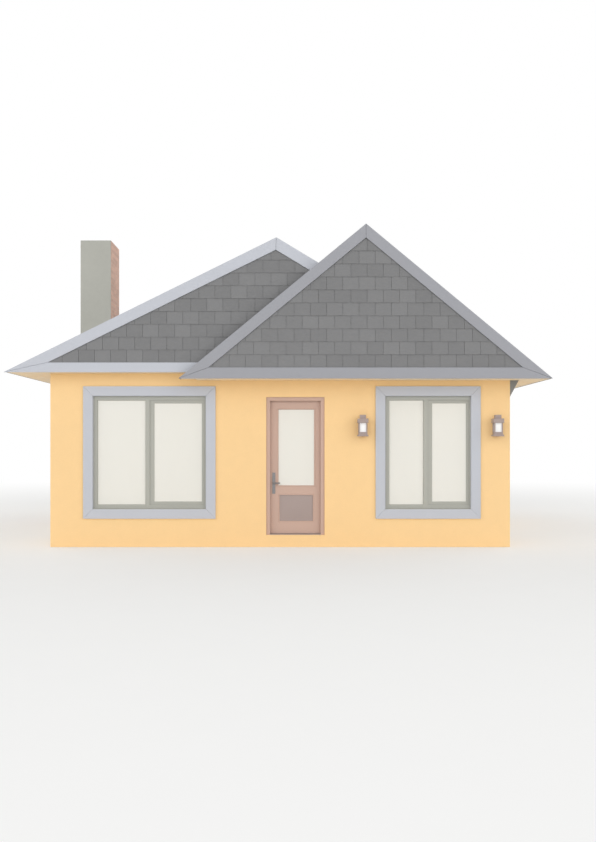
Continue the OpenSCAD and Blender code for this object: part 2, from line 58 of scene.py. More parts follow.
# Finishes. Each has its screen colour, its roughness, the depth of its relief in metres, fixed
# shader values, and layers of pattern: kind, size in metres, stretch, and how much it changes
# the brightness, the roughness and the relief.
even, alongX, alongZ = (1, 1, 1), (0.08, 1, 1), (1, 1, 0.08)
matte, satin = {"Specular IOR Level": 0.2}, {"Specular IOR Level": 0.35}
finishSpecs = {
    "wall_render": {"colour": "#fdd79f", "rough": 0.92, "relief": 0.0016, "fixed": matte, "layers": [
        ("cloud", 1.6, even, 0.025, 0.0, 0.0),
        ("cloud", 0.16, even, 0.025, 0.03, 0.35),
        ("cloud", 0.018, even, 0.02, 0.0, 0.35),
        ("grains", 0.005, even, 0.03, 0.03, 0.3)]},
    "chimney_coat": {"colour": "#babab2", "rough": 0.9, "relief": 0.0014, "fixed": matte, "layers": [
        ("cloud", 0.7, even, 0.06, 0.0, 0.0),
        ("cloud", 0.09, even, 0.04, 0.03, 0.5),
        ("grains", 0.005, even, 0.05, 0.03, 0.4)]},
    "concrete": {"colour": "#b5b3ad", "rough": 0.85, "relief": 0.001, "fixed": matte, "layers": [
        ("cloud", 1.1, even, 0.07, 0.05, 0.0),
        ("cloud", 0.06, even, 0.04, 0.03, 0.5),
        ("grains", 0.009, even, 0.05, 0.0, 0.4)]},
    "plaster": {"colour": "#eceae2", "rough": 0.9, "relief": 0.0006, "fixed": matte, "layers": [
        ("cloud", 0.9, even, 0.02, 0.0, 0.0),
        ("cloud", 0.05, even, 0.01, 0.03, 0.6)]},
    "slate": {"colour": "#828283", "rough": 0.62, "relief": 0.0012, "fixed": matte, "layers": [
        ("tone", 1, even, 0.06, 0.06, 0.0),
        ("cloud", 0.9, even, 0.04, 0.0, 0.0),
        ("cloud", 0.07, (1, 1, 2.5), 0.06, 0.06, 0.6),
        ("cloud", 0.012, (1, 1, 3), 0.05, 0.03, 0.3)]},
    "pale_boards": {"colour": "#c4c7cf", "rough": 0.5, "relief": 0.0005, "fixed": satin, "layers": [
        ("tone", 1, even, 0.02, 0.0, 0.0),
        ("cloud", 0.6, even, 0.02, 0.03, 0.0),
        ("cloud", 0.006, alongX, 0.02, 0.06, 0.5),
        ("cloud", 0.006, alongZ, 0.015, 0.04, 0.3)]},
    "grey_boards": {"colour": "#a0a1a7", "rough": 0.5, "relief": 0.0005, "fixed": satin, "layers": [
        ("tone", 1, even, 0.03, 0.0, 0.0),
        ("cloud", 0.6, even, 0.03, 0.03, 0.0),
        ("cloud", 0.006, alongX, 0.025, 0.06, 0.5),
        ("cloud", 0.02, even, 0.015, 0.04, 0.3)]},
    "soffit_paint": {"colour": "#f4e4c8", "rough": 0.6, "relief": 0.0004, "fixed": matte, "layers": [
        ("tone", 1, even, 0.02, 0.02, 0.0),
        ("cloud", 0.5, even, 0.02, 0.03, 0.0),
        ("cloud", 0.008, alongX, 0.015, 0.04, 0.6)]},
    "bracket_paint": {"colour": "#8a8a88", "rough": 0.5, "relief": 0.0006, "fixed": satin, "layers": [
        ("cloud", 0.2, even, 0.04, 0.04, 0.0),
        ("cloud", 0.006, alongX, 0.03, 0.06, 0.6)]},
    "valley_metal": {"colour": "#8f9092", "rough": 0.55, "relief": 0.002,
                     "fixed": {"Metallic": 0.6}, "layers": [
        ("cloud", 0.35, even, 0.12, 0.1, 0.0),
        ("cloud", 0.05, even, 0.06, 0.08, 0.7)]},
    "chimney_brick": {"colour": "#d8b4a3", "rough": 0.85, "relief": 0.0016, "fixed": matte, "layers": [
        ("tone", 1, even, 0.1, 0.03, 0.0),
        ("cloud", 0.03, even, 0.07, 0.03, 0.5),
        ("grains", 0.006, even, 0.08, 0.0, 0.4)]},
    "mortar": {"colour": "#d3c7bb", "rough": 0.95, "relief": 0.001, "fixed": matte, "layers": [
        ("cloud", 0.3, even, 0.06, 0.0, 0.0),
        ("grains", 0.004, even, 0.08, 0.0, 0.8)]},
    "clay": {"colour": "#b58e7b", "rough": 0.7, "relief": 0.001, "fixed": matte, "layers": [
        ("cloud", 0.08, even, 0.12, 0.05, 0.5),
        ("grains", 0.008, even, 0.05, 0.0, 0.3)]},
    "window_paint": {"colour": "#b2b2aa", "rough": 0.42, "relief": 0.0003, "fixed": satin, "layers": [
        ("cloud", 0.5, even, 0.02, 0.04, 0.0),
        ("cloud", 0.004, alongZ, 0.02, 0.05, 0.6)]},
    "pane": {"colour": "#eceae2", "rough": 0.3, "relief": 0.0004,
             "fixed": {"Coat Weight": 1.0, "Coat Roughness": 0.04, "Specular IOR Level": 0.2},
             "layers": [
        ("cloud", 0.9, (1, 1, 0.5), 0.02, 0.04, 0.0),
        ("cloud", 0.12, (1, 1, 0.4), 0.008, 0.02, 0.5)]},
    "door_paint": {"colour": "#ccae9f", "rough": 0.42, "relief": 0.0004, "fixed": satin, "layers": [
        ("cloud", 0.5, even, 0.03, 0.04, 0.0),
        ("cloud", 0.005, alongZ, 0.03, 0.05, 0.7)]},
    "door_panel": {"colour": "#aa9a95", "rough": 0.45, "relief": 0.0004, "fixed": satin, "layers": [
        ("cloud", 0.3, even, 0.03, 0.04, 0.0),
        ("cloud", 0.005, alongX, 0.03, 0.05, 0.7)]},
    "fittings": {"colour": "#8e8c8c", "rough": 0.34, "relief": 0.0001,
                 "fixed": {"Metallic": 1.0}, "layers": [
        ("cloud", 0.06, even, 0.05, 0.06, 0.0),
        ("cloud", 0.0015, alongZ, 0.05, 0.08, 0.6)]},
    "lamp_metal": {"colour": "#aa9a95", "rough": 0.4, "relief": 0.0002, "fixed": satin, "layers": [
        ("cloud", 0.08, even, 0.04, 0.05, 0.0),
        ("grains", 0.003, even, 0.03, 0.04, 0.6)]},
    "lamp_glass": {"colour": "#f8f8f8", "rough": 0.25, "relief": 0.0003,
                   "fixed": {"Coat Weight": 0.6, "Coat Roughness": 0.05, "Specular IOR Level": 0.2,
                             "Emission Color": (1, 1, 1, 1), "Emission Strength": 0.08},
                   "layers": [
        ("cloud", 0.05, even, 0.02, 0.04, 0.0),
        ("cloud", 0.012, even, 0.01, 0.02, 0.6)]},
}


def linearColour(code):
    # a screen colour as linear light
    shares = [int(code[start:start + 2], 16) / 255 for start in (1, 3, 5)]
    return (*[s / 12.92 if s <= 0.04045 else ((s + 0.055) / 1.055) ** 2.4 for s in shares], 1.0)


def feed(tree, node, wires):
    # sets inputs of a shader node to values or to other nodes' outputs
    for name, value in wires.items():
        if isinstance(value, bpy.types.NodeSocket):
            tree.links.new(value, node.inputs[name])
        else:
            node.inputs[name].default_value = value


def addNode(tree, kind, wires=None, **settings):
    node = tree.nodes.new("ShaderNode" + kind)
    for name, value in settings.items():
        setattr(node, name, value)
    feed(tree, node, wires or {})
    return node


def patternValue(tree, where, kind, size, stretch):
    # a pattern's value from 0 to 1, with lumps of about size metres
    if kind == "tone":
        return addNode(tree, "Attribute", attribute_name="tone").outputs["Fac"]
    place = addNode(tree, "Mapping", {"Vector": where, "Scale": stretch}).outputs[0]
    if kind == "grains":
        return addNode(tree, "TexVoronoi", {"Vector": place, "Scale": 1 / size}).outputs["Distance"]
    return addNode(tree, "TexNoise", {"Vector": place, "Scale": 1 / size, "Detail": 3.0}).outputs[0]


def spread(tree, middle, parts):
    # a value about middle that each (pattern, amount) moves up and down
    total = middle - sum(amount for value, amount in parts)
    for value, amount in parts:
        wires = {0: value, 1: 2 * amount, 2: total}
        total = addNode(tree, "Math", wires, operation="MULTIPLY_ADD").outputs[0]
    return total


def makeFinish(name, spec):
    material = bpy.data.materials.new(name)
    material.use_nodes = True
    tree = material.node_tree
    shader = tree.nodes["Principled BSDF"]
    where = addNode(tree, "TexCoord").outputs["Object"]
    tints, roughs, reliefs = [], [], []
    for kind, size, stretch, tint, rough, relief in spec["layers"]:
        value = patternValue(tree, where, kind, size, stretch)
        for parts, amount in ((tints, tint), (roughs, rough), (reliefs, relief)):
            if amount:
                parts.append((value, amount))
    brightness = spread(tree, 1.0, tints)
    colour = addNode(tree, "HueSaturation", {"Color": linearColour(spec["colour"]), "Value": brightness})
    bump = addNode(tree, "Bump", {"Height": spread(tree, 0.5, reliefs), "Distance": spec["relief"]})
    feed(tree, shader, {"Base Color": colour.outputs[0], "Normal": bump.outputs[0],
                        "Roughness": spread(tree, spec["rough"], roughs), **spec["fixed"]})
    return material


finishes = {name: makeFinish(name, spec) for name, spec in finishSpecs.items()}
for name, node in nodes.items():
    node.data.materials.clear()
    node.data.materials.append(finishes[slotOf[name]])
print("finishes made:", len(finishes))


# Meshes. Parts are the corners, faces and face tones of many small closed solids.
meshing = {
    "weld": 0.00002,      # corners closer than this become one
    "sliver": 0.00001,    # edges shorter than this are taken out
    "flat": 0.01,         # faces that turn by less, in radians, become one before rounding
    "round": 0.5,         # edges that turn by more, in radians, are rounded
    "crisp": 28,          # edges that turn by more, in degrees, are shaded sharp
}


def newParts():
    return {"points": [], "faces": [], "tones": []}


def addFaces(parts, points, faces, tone=0.5):
    start = len(parts["points"])
    parts["points"] += points
    parts["faces"] += [[start + corner for corner in face] for face in faces]
    parts["tones"] += [tone] * len(faces)


def addPrism(parts, low, high, tone=0.5):
    # a closed solid between two outlines with as many corners each
    count = len(low)
    sides = [(i, (i + 1) % count, count + (i + 1) % count, count + i) for i in range(count)]
    ends = [tuple(range(count))[::-1], tuple(range(count, 2 * count))]
    addFaces(parts, [*low, *high], sides + ends, tone)


def addBox(parts, low, high):
    outline = [(low[0], low[1]), (high[0], low[1]), (high[0], high[1]), (low[0], high[1])]
    addPrism(parts, [Vector((x, y, low[2])) for x, y in outline],
             [Vector((x, y, high[2])) for x, y in outline])


def addTurned(parts, centre, axis, profile, steps=24):
    # a solid turned round an axis from a profile of (radius, height), without faces on the axis
    side = axis.orthogonal().normalized()
    other = axis.cross(side)
    count = len(profile)
    points = [centre + axis * height + radius * (side * math.cos(turn) + other * math.sin(turn))
              for turn in (math.tau * step / steps for step in range(steps))
              for radius, height in profile]
    faces = []
    for step in range(steps):
        after = (step + 1) % steps
        for i in range(count):
            j = (i + 1) % count
            if profile[i][0] or profile[j][0]:
                faces.append((step * count + i, step * count + j, after * count + j, after * count + i))
    addFaces(parts, points, faces)


def rectangle(out, side, rise, outline, depth):
    # the corners of an outline (left, right, low, high) at a depth along out
    a, b, c, d = outline
    return [side * u + rise * v + out * depth for u, v in ((a, c), (b, c), (b, d), (a, d))]


def grown(outline, by):
    return (outline[0] - by, outline[1] + by, outline[2] - by, outline[3] + by)


def addRing(parts, out, side, rise, outlines, depths, gap=0.0):
    # a frame round an opening, from (outer, inner) at one depth to (outer, inner) at another: four
    # mitred bars with gaps between them, or one closed ring without
    levels = [[rectangle(out, side, rise, outline, depth) for outline in pair]
              for pair, depth in zip(outlines, depths)]
    if not gap:
        (a, b), (c, d) = levels
        faces = []
        for level in range(4):
            after = (level + 1) % 4
            for i in range(4):
                j = (i + 1) % 4
                faces.append((level * 4 + i, level * 4 + j, after * 4 + j, after * 4 + i))
        addFaces(parts, a + b + d + c, faces)
        return
    for i in range(4):
        j = (i + 1) % 4
        ends = []
        for outer, inner in levels:
            step = (outer[j] - outer[i]).normalized() * gap
            ends.append([outer[i] + step, outer[j] - step, inner[j] - step, inner[i] + step])
        addPrism(parts, *ends)


def roundEdges(solid, width):
    sharp = [edge for edge in solid.edges
             if edge.is_manifold and edge.calc_face_angle(0) > meshing["round"]]
    bmesh.ops.bevel(solid, geom=sharp, offset=width, offset_type="OFFSET", segments=2, profile=0.5,
                    affect="EDGES", clamp_overlap=True)


def finishPiece(name, solid, finish, body, replaced, rounding):
    # turns the working mesh into a piece that rides on its body
    bmesh.ops.remove_doubles(solid, verts=solid.verts, dist=meshing["weld"])
    bmesh.ops.dissolve_degenerate(solid, edges=solid.edges, dist=meshing["sliver"])
    if rounding:
        bmesh.ops.dissolve_limit(solid, angle_limit=meshing["flat"], verts=solid.verts, edges=solid.edges)
        roundEdges(solid, rounding)
    bmesh.ops.recalc_face_normals(solid, faces=solid.faces)
    mesh = bpy.data.meshes.new(name)
    solid.to_mesh(mesh)
    solid.free()
    mesh.shade_smooth()
    mesh.set_sharp_from_angle(angle=math.radians(meshing["crisp"]))
    mesh.materials.clear()
    mesh.materials.append(finishes[finish])
    piece = bpy.data.objects.new(name, mesh)
    bpy.context.scene.collection.objects.link(piece)
    if rounding:
        # keeps the rounded edges' shading off the flat faces
        flat = piece.modifiers.new("flat_faces", "WEIGHTED_NORMAL")
        flat.keep_sharp = True
    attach(piece, body)
    if replaced:
        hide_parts(*replaced)
    return piece


def makePiece(name, parts, finish, body="house", replaced=(), rounding=0.0):
    mesh = bpy.data.meshes.new(name)
    mesh.from_pydata(parts["points"], [], parts["faces"])
    mesh.attributes.new("tone", "FLOAT", "FACE").data.foreach_set("value", parts["tones"])
    solid = bmesh.new()
    solid.from_mesh(mesh)
    bpy.data.meshes.remove(mesh)
    return finishPiece(name, solid, finish, body, replaced, rounding)


def softened(node, rounding=0.0):
    # a welded copy of a node with its edges rounded, which stands for it
    solid = bmesh.new()
    solid.from_mesh(nodes[node].data)
    tone = solid.faces.layers.float.new("tone")
    for face in solid.faces:
        face[tone] = 0.5
    return finishPiece(node + "_finished", solid, slotOf[node], bodyOf[node], [node], rounding)


def looseBoxes(node):
    # lowest and highest corner of each separate solid of a node, in an order that stays the same
    solid = bmesh.new()
    solid.from_mesh(nodes[node].data)
    bmesh.ops.remove_doubles(solid, verts=solid.verts, dist=meshing["weld"])
    left, found = set(solid.verts), []
    while left:
        queue, group = [left.pop()], []
        while queue:
            vert = queue.pop()
            group.append(vert.co)
            near = {edge.other_vert(vert) for edge in vert.link_edges} & left
            left -= near
            queue += near
        found.append((Vector([min(v[i] for v in group) for i in range(3)]),
                      Vector([max(v[i] for v in group) for i in range(3)])))
    solid.free()
    return sorted(found, key=lambda box: (round(sum(box[0]) * 100), round(box[0].x * 100)))


def nearest(boxes, middle):
    # the box whose middle lies closest
    return min(boxes, key=lambda box: ((box[0] + box[1]) / 2 - middle).length)


def clipped(outline, area):
    # what is left of a flat outline inside an area, a list of (direction, how far it reaches)
    for direction, limit in area:
        kept = []
        for i, here in enumerate(outline):
            before = outline[i - 1]
            a, b = direction.dot(before) - limit, direction.dot(here) - limit
            if (a < 0) != (b < 0):
                kept.append(before.lerp(here, a / (a - b)))
            if b < 0:
                kept.append(here)
        outline = kept
        if len(outline) < 3:
            return []
    return outline


def between(direction, low, high):
    return [(direction, high), (-direction, -low)]


def flatSize(outline):
    # area of a flat outline
    total = Vector()
    for i in range(1, len(outline) - 1):
        total += (outline[i] - outline[0]).cross(outline[i + 1] - outline[0])
    return total.length / 2


# Roof slopes, as the frame's decks give them
def slopeOf(node):
    mesh = nodes[node].data
    out = Vector()
    for face in mesh.polygons:
        if face.normal.z > 0.5:   # the deck's upper side
            out += face.normal * face.area
    out.normalize()
    limit = max(out.dot(vert.co) for vert in mesh.vertices)
    rise = out.cross(back)
    rise = -rise if rise.z < 0 else rise
    corners = [vert.co for vert in mesh.vertices if out.dot(vert.co) > limit - nearly]
    levels = [rise.dot(corner) for corner in corners]
    return {"out": out, "limit": limit, "rise": rise, "side": back,
            "low": min(levels), "high": max(levels), "end": max(corner.y for corner in corners)}


def meet(first, second, lift=0.0):
    # where two slopes meet, seen along the ridge, lifted square off both
    a, b, c, d = first["out"].x, first["out"].z, second["out"].x, second["out"].z
    e, f = first["limit"] + lift, second["limit"] + lift
    det = a * d - b * c
    return Vector(((e * d - b * f) / det, 0, (a * f - e * c) / det))


def onSlope(slope, x, y, lift):
    # the point above x and y on a slope, lifted square off it
    return Vector((x, y, (slope["limit"] + lift - slope["out"].x * x) / slope["out"].z))


wideLeft, wideRight = slopeOf("left_roof_left_slope"), slopeOf("left_roof_right_slope")
steepLeft, steepRight = slopeOf("right_roof_left_slope"), slopeOf("right_roof_right_slope")
valley = meet(wideRight, steepLeft)
dice = random.Random(11)

slates = {
    "gauge": 0.2,      # how much of each row shows
    "length": 0.25,
    "width": 0.25,     # with one joint
    "joint": 0.004,
    "toe": (0.008, 0.016),    # under and upper side at the lower edge, above the deck
    "head": (-0.002, 0.006),  # the same at the upper edge
    "stray": 0.0012,   # how far the lower edges stray up and down
    "eave": 0.012,     # how far the first row hangs over
    "valley": 0.055,   # how far the rows stop from the valley's middle
    "chimney": 0.012,  # gap to the chimney
    "edge": 0.002,     # gap to the gable boards
    "least": 0.0004,   # smallest cut piece that is laid, in square metres
}
# the short row under the first one
starter = {**slates, "gauge": 0.12, "length": 0.12, "toe": (0.0005, 0.0075), "head": (0.0005, 0.0025),
           "stray": 0.0}


def around(outline, hole, gap=0.001):
    # the pieces of a flat outline that lie outside a hole, with small gaps between them
    if not hole or not clipped(outline, hole):
        return [outline]
    inside = [(direction, limit - gap) for direction, limit in hole]
    pieces = [clipped(outline, [(-direction, -limit)] + inside[:i])
              for i, (direction, limit) in enumerate(hole)]
    return [piece for piece in pieces if piece]


def layRows(parts, plane, area, low, high, start, stop, kind=slates, hole=None):
    # rows of slates or bricks on a plane, cut to an area and round a hole
    length = kind["length"]
    origin = plane["out"] * plane["limit"]
    for row in range(math.ceil((high - low) / kind["gauge"])):
        foot = low + row * kind["gauge"]
        shift = kind["width"] * (0.5 if row % 2 else 0.0)
        for column in range(math.ceil((stop - start + shift) / kind["width"])):
            left = start - shift + column * kind["width"] + kind["joint"] / 2
            right = left + kind["width"] - kind["joint"]
            tone, stray = dice.random(), dice.uniform(-1, 1) * kind["stray"]
            skew = dice.uniform(-1, 1) * kind["stray"]
            heights = (foot + skew, foot - skew, foot + length, foot + length)
            whole = [origin + plane["side"] * u + plane["rise"] * v
                     for u, v in zip((left, right, right, left), heights)]
            for outline in around(clipped(whole, area), hole):
                if flatSize(outline) < kind["least"]:
                    continue
                shares = [(plane["rise"].dot(corner) - foot) / length for corner in outline]
                layers = []
                for toe, head in zip(kind["toe"], kind["head"]):
                    layers.append([corner + plane["out"] * (toe + stray + (head - toe) * share)
                                   for corner, share in zip(outline, shares)])
                addPrism(parts, *layers, tone)


def slateSlope(name, slope, low, hole=None, area=(), fromEave=True):
    parts = newParts()
    area = [*between(back, -slope["end"], slope["end"]), (slope["rise"], slope["high"]), *area]
    layRows(parts, slope, area, low, slope["high"], -slope["end"], slope["end"], slates, hole)
    if fromEave:
        layRows(parts, slope, area, low + slates["joint"], low + starter["length"],
                -slope["end"] - slates["width"] / 2, slope["end"], starter, hole)
    makePiece(name, parts, "slate")


stackLow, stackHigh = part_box("chimney_coat")
chimneyHole = [(across, stackHigh.x + slates["chimney"])]
chimneyHole += between(back, stackLow.y - slates["chimney"], stackHigh.y + slates["chimney"])
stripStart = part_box("left_gable_bargeboards")[1].y
valleyHole = [(across, valley.x + slates["valley"]), *between(back, -stripStart, stripStart)]
eaveLevels = [low.z for low, high in looseBoxes("side_soffits")]
wideEave, steepEave = max(eaveLevels), min(eaveLevels)


def eaveStart(slope, z):
    # where the slates of a slope start whose eave lies at z
    x = (slope["limit"] - slope["out"].z * z) / slope["out"].x
    return slope["rise"].dot(Vector((x, 0, z))) - slates["eave"]


slateSlope("wide_left_slates", wideLeft, eaveStart(wideLeft, wideEave), chimneyHole)
slateSlope("wide_right_slates", wideRight, wideRight["low"] - slates["gauge"],
           area=[(across, valley.x - slates["valley"])], fromEave=False)
slateSlope("steep_left_slates", steepLeft, eaveStart(steepLeft, steepEave), valleyHole)
slateSlope("steep_right_slates", steepRight, eaveStart(steepRight, steepEave))
print("roof slopes slated")


# Gable faces, slated inside their boards
gableBoards = {
    "edge": 0.002,
    "clear": 0.25,   # the depth is measured at least this far from the ridge
}


def boardDepth(boards, slope, ridgeX):
    # how far below a slope its gable board's lower edge lies
    return max(slope["limit"] - slope["out"].dot(vert.co) for vert in nodes[boards].data.vertices
               if (vert.co.x - ridgeX) * slope["out"].x > gableBoards["clear"])


def slateGable(name, faces, boards, bases, left, right, extra):
    low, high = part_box(faces)
    ridgeX = meet(left, right).x
    area = [(-up, -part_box(bases)[1].z - slates["edge"])] + extra
    for slope in (left, right):
        area.append((slope["out"], slope["limit"] - boardDepth(boards, slope, ridgeX) - slates["edge"]))
    parts = newParts()
    for out, limit in ((-back, -low.y), (back, high.y)):
        plane = {"out": out, "limit": limit, "rise": up, "side": across}
        layRows(parts, plane, area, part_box(bases)[1].z, high.z, low.x, high.x)
    makePiece(name, parts, "slate")


slateGable("wide_gable_slates", "left_gable_faces", "left_gable_bargeboards", "left_gable_base_boards",
           wideLeft, wideRight, [(-steepLeft["out"], -steepLeft["limit"])])
slateGable("steep_gable_slates", "right_gable_faces", "right_gable_bargeboards",
           "right_gable_base_boards", steepLeft, steepRight, [])
for boards in ("left_gable_bargeboards", "left_gable_base_boards", "right_gable_bargeboards",
               "right_gable_base_boards"):
    softened(boards, gableBoards["edge"])
print("gables slated")

# Ridge tiles, in lengths that lap
ridgeTiles = {
    "length": 0.45,
    "reach": 0.15,    # how far each side reaches down, measured level
    "under": 0.010,   # under side above the deck
    "over": 0.025,    # upper side above the deck
    "collar": 0.05,   # length of the raised lap
    "collarRise": 0.004,
    "nose": 0.02,     # half the width of the blunted ridge
    "crest": 0.55,    # how far the blunted ridge rises towards the sharp one
    "gap": 0.001,     # at each end of a tile
    "edge": 0.0012,
}


def ridgeProfile(left, right, over, y):
    reach, nose, below = ridgeTiles["reach"], ridgeTiles["nose"], ridgeTiles["under"]
    top, under = meet(left, right, over), meet(left, right, below)
    blunt = [onSlope(left, top.x - nose, y, over), onSlope(right, top.x + nose, y, over)]
    middle = (blunt[0] + blunt[1]) / 2 + up * (top.z - blunt[0].z) * ridgeTiles["crest"]
    return [onSlope(left, top.x - reach, y, over), blunt[0], middle, blunt[1],
            onSlope(right, top.x + reach, y, over), onSlope(right, top.x + reach, y, below),
            Vector((under.x, y, under.z)), onSlope(left, top.x - reach, y, below)]


def layRidge(name, left, right):
    parts = newParts()
    end, gap, half = left["end"], ridgeTiles["gap"], ridgeTiles["collar"] / 2
    over, raised = ridgeTiles["over"], ridgeTiles["over"] + ridgeTiles["collarRise"]
    count = round(2 * end / ridgeTiles["length"])
    step = 2 * end / count
    for i in range(count):
        start, tone = -end + i * step, dice.random()
        addPrism(parts, ridgeProfile(left, right, over, start + gap),
                 ridgeProfile(left, right, over, start + step - gap), tone)
        if i:
            addPrism(parts, ridgeProfile(left, right, raised, start - half),
                     ridgeProfile(left, right, raised, start + half), tone)
    return makePiece(name, parts, "slate", rounding=ridgeTiles["edge"])


wideRidge = layRidge("wide_ridge_tiles", wideLeft, wideRight)
layRidge("steep_ridge_tiles", steepLeft, steepRight)
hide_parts("ridge_caps")
print("ridges laid")

# Valley laps, which show between the slates
valleyLaps = {"lengths": 6, "width": 0.05, "reach": 0.054, "under": 0.006, "thick": 0.003}


def layValley():
    parts = newParts()
    reach = valleyLaps["reach"]
    for i in range(1, valleyLaps["lengths"]):
        middle = wideRight["end"] * (2 * i / valleyLaps["lengths"] - 1)
        ends = []
        for y in (middle - valleyLaps["width"] / 2, middle + valleyLaps["width"] / 2):
            outline = []
            for lift in (valleyLaps["under"], valleyLaps["under"] + valleyLaps["thick"]):
                bottom = meet(wideRight, steepLeft, lift)
                row = [onSlope(wideRight, valley.x - reach, y, lift), Vector((bottom.x, y, bottom.z)),
                       onSlope(steepLeft, valley.x + reach, y, lift)]
                outline += row if not outline else row[::-1]
            ends.append(outline)
        addPrism(parts, *ends)
    makePiece("valley_laps", parts, "valley_metal")


layValley()

# Soffits, in grooved boards
soffits = {
    "board": 0.1, "groove": 0.004, "thick": 0.012, "edge": 0.0015,
    "backing": 0.013,      # upper side of the backing, above the boards
    "backingTone": 0.3,
    "clear": 0.0005,       # the backing stays this far above the boards and inside their ends
    "bracketEdge": 0.004,
}


def addBoard(parts, x0, x1, y0, y1, z0, z1, area=(), tone=0.5):
    # a board whose end is cut to an area
    outline = clipped(rectangle(back, across, up, (x0, x1, z0, z1), 0), area)
    if outline:
        addPrism(parts, [corner + back * y0 for corner in outline],
                 [corner + back * y1 for corner in outline], tone)


def layBoards(parts, x0, x1, y0, y1, z, alongY, slope):
    # boards side by side under the eaves, cut where they meet the roof's slope
    area = [(slope["out"], slope["limit"])]
    top, groove, clear = z + soffits["thick"], soffits["groove"] / 2, soffits["clear"]
    addBoard(parts, x0 + clear, x1 - clear, y0 + clear, y1 - clear,
             top + clear, top + soffits["backing"], area, soffits["backingTone"])
    length = x1 - x0 if alongY else y1 - y0
    count = max(1, round(length / soffits["board"]))
    for i in range(count):
        low, high = length * i / count + groove, length * (i + 1) / count - groove
        if alongY:
            addBoard(parts, x0 + low, x0 + high, y0, y1, z, top, area, dice.random())
        else:
            addBoard(parts, x0, x1, y0 + low, y0 + high, z, top, area, dice.random())


def laySoffits():
    parts = newParts()
    for low, high in looseBoxes("side_soffits"):
        slope = wideLeft if low.x < 0 else steepRight
        layBoards(parts, low.x, high.x, low.y, high.y, low.z, True, slope)
    makePiece("side_soffit_boards", parts, "soffit_paint", replaced=["side_soffits"],
              rounding=soffits["edge"])
    parts = newParts()
    low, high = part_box("gable_soffits")
    corners = [vert.co for vert in nodes["gable_soffits"].data.vertices]
    lowest = [corner for corner in corners if corner.z < low.z + nearly]
    cheekX = min(corner.x for corner in lowest if abs(corner.y) < stripStart)
    tipX = min(corner.x for corner in lowest)
    wallY = min(abs(corner.y) for corner in corners)
    thick = high.z - wideEave
    for sign in (-1, 1):
        for x0, x1, near, far, z in (
                (low.x, cheekX + thick, wallY, wideRight["end"], wideEave),
                (cheekX + thick, high.x, wallY, stripStart, steepEave),
                (tipX, high.x, stripStart, steepRight["end"], steepEave)):
            y0, y1 = sorted((sign * near, sign * far))
            layBoards(parts, x0, x1, y0, y1, z, False, wideLeft if z == wideEave else steepLeft)
        y0, y1 = sorted((sign * wallY, sign * stripStart))
        addBoard(parts, cheekX, cheekX + thick, y0, y1, steepEave, wideEave)
    makePiece("gable_soffit_boards", parts, "soffit_paint", replaced=["gable_soffits"],
              rounding=soffits["edge"])


laySoffits()
softened("eave_brackets", soffits["bracketEdge"])
print("eaves boarded")

# Chimney: bricks on its left side and above the roof, a sloping crown, a clay liner and lead
bricks = {
    "gauge": 0.075, "length": 0.065, "width": 0.225, "joint": 0.01,
    "toe": (-0.004, 0.004),    # under and upper side, measured from the stack's face
    "head": (-0.004, 0.004),
    "stray": 0.0006, "least": 0.0004, "edge": 0.0015, "coatEdge": 0.004,
}
crown = {
    "rise": 0.012, "inset": 0.004,
    "margin": 0.01,        # the stated opening lies this far inside the flue
    "seat": 0.02,          # level strip round the liner
    "linerGap": 0.001, "clay": 0.018, "linerTop": 0.026, "linerDepth": 0.5, "linerEdge": 0.002,
}
flashing = {
    "height": 0.15, "reach": 0.13, "thick": 0.003,
    "lift": 0.0175,        # above the deck
    "over": 0.03,          # past the stack on the roof's side
    "under": 0.01,         # past it on the eave's side
    "edge": 0.0006,
}


def buildChimney():
    low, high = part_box("chimney_stack")
    nodes["chimney_stack"].data.materials[0] = finishes["mortar"]
    roofZ = onSlope(wideLeft, high.x, 0, flashing["lift"]).z + flashing["height"]
    edge = bricks["joint"] / 2
    parts = newParts()
    for out, foot in ((-across, low.z), (across, roofZ)):
        plane = {"out": out, "limit": max(out.dot(low), out.dot(high)), "rise": up, "side": back}
        area = between(back, low.y + edge, high.y - edge) + between(up, foot + edge, high.z)
        layRows(parts, plane, area, low.z, high.z, low.y, high.y, bricks)
    makePiece("chimney_bricks", parts, "chimney_brick", rounding=bricks["edge"])
    softened("chimney_coat", bricks["coatEdge"])

    flueLow, flueHigh = openings["flue"]
    flue = grown((flueLow.x, flueHigh.x, flueLow.y, flueHigh.y), crown["margin"])
    foot = (grown((low.x, high.x, stackLow.y, stackHigh.y), -crown["inset"]), flue)
    top = (grown(flue, crown["seat"]), flue)
    parts = newParts()
    addRing(parts, up, across, back, [foot, top], (high.z, high.z + crown["rise"]))
    makePiece("chimney_crown", parts, "mortar")
    parts = newParts()
    liner = (grown(flue, -crown["linerGap"]), grown(flue, -crown["clay"]))
    addRing(parts, up, across, back, [liner, liner],
            (high.z - crown["linerDepth"], high.z + crown["linerTop"]))
    makePiece("flue_liner", parts, "clay", rounding=crown["linerEdge"])


def addSlab(parts, slope, corners, low, high):
    # a thin sheet that lies along a slope, between two lifts
    addPrism(parts, [onSlope(slope, x, y, low) for x, y in corners],
             [onSlope(slope, x, y, high) for x, y in corners])


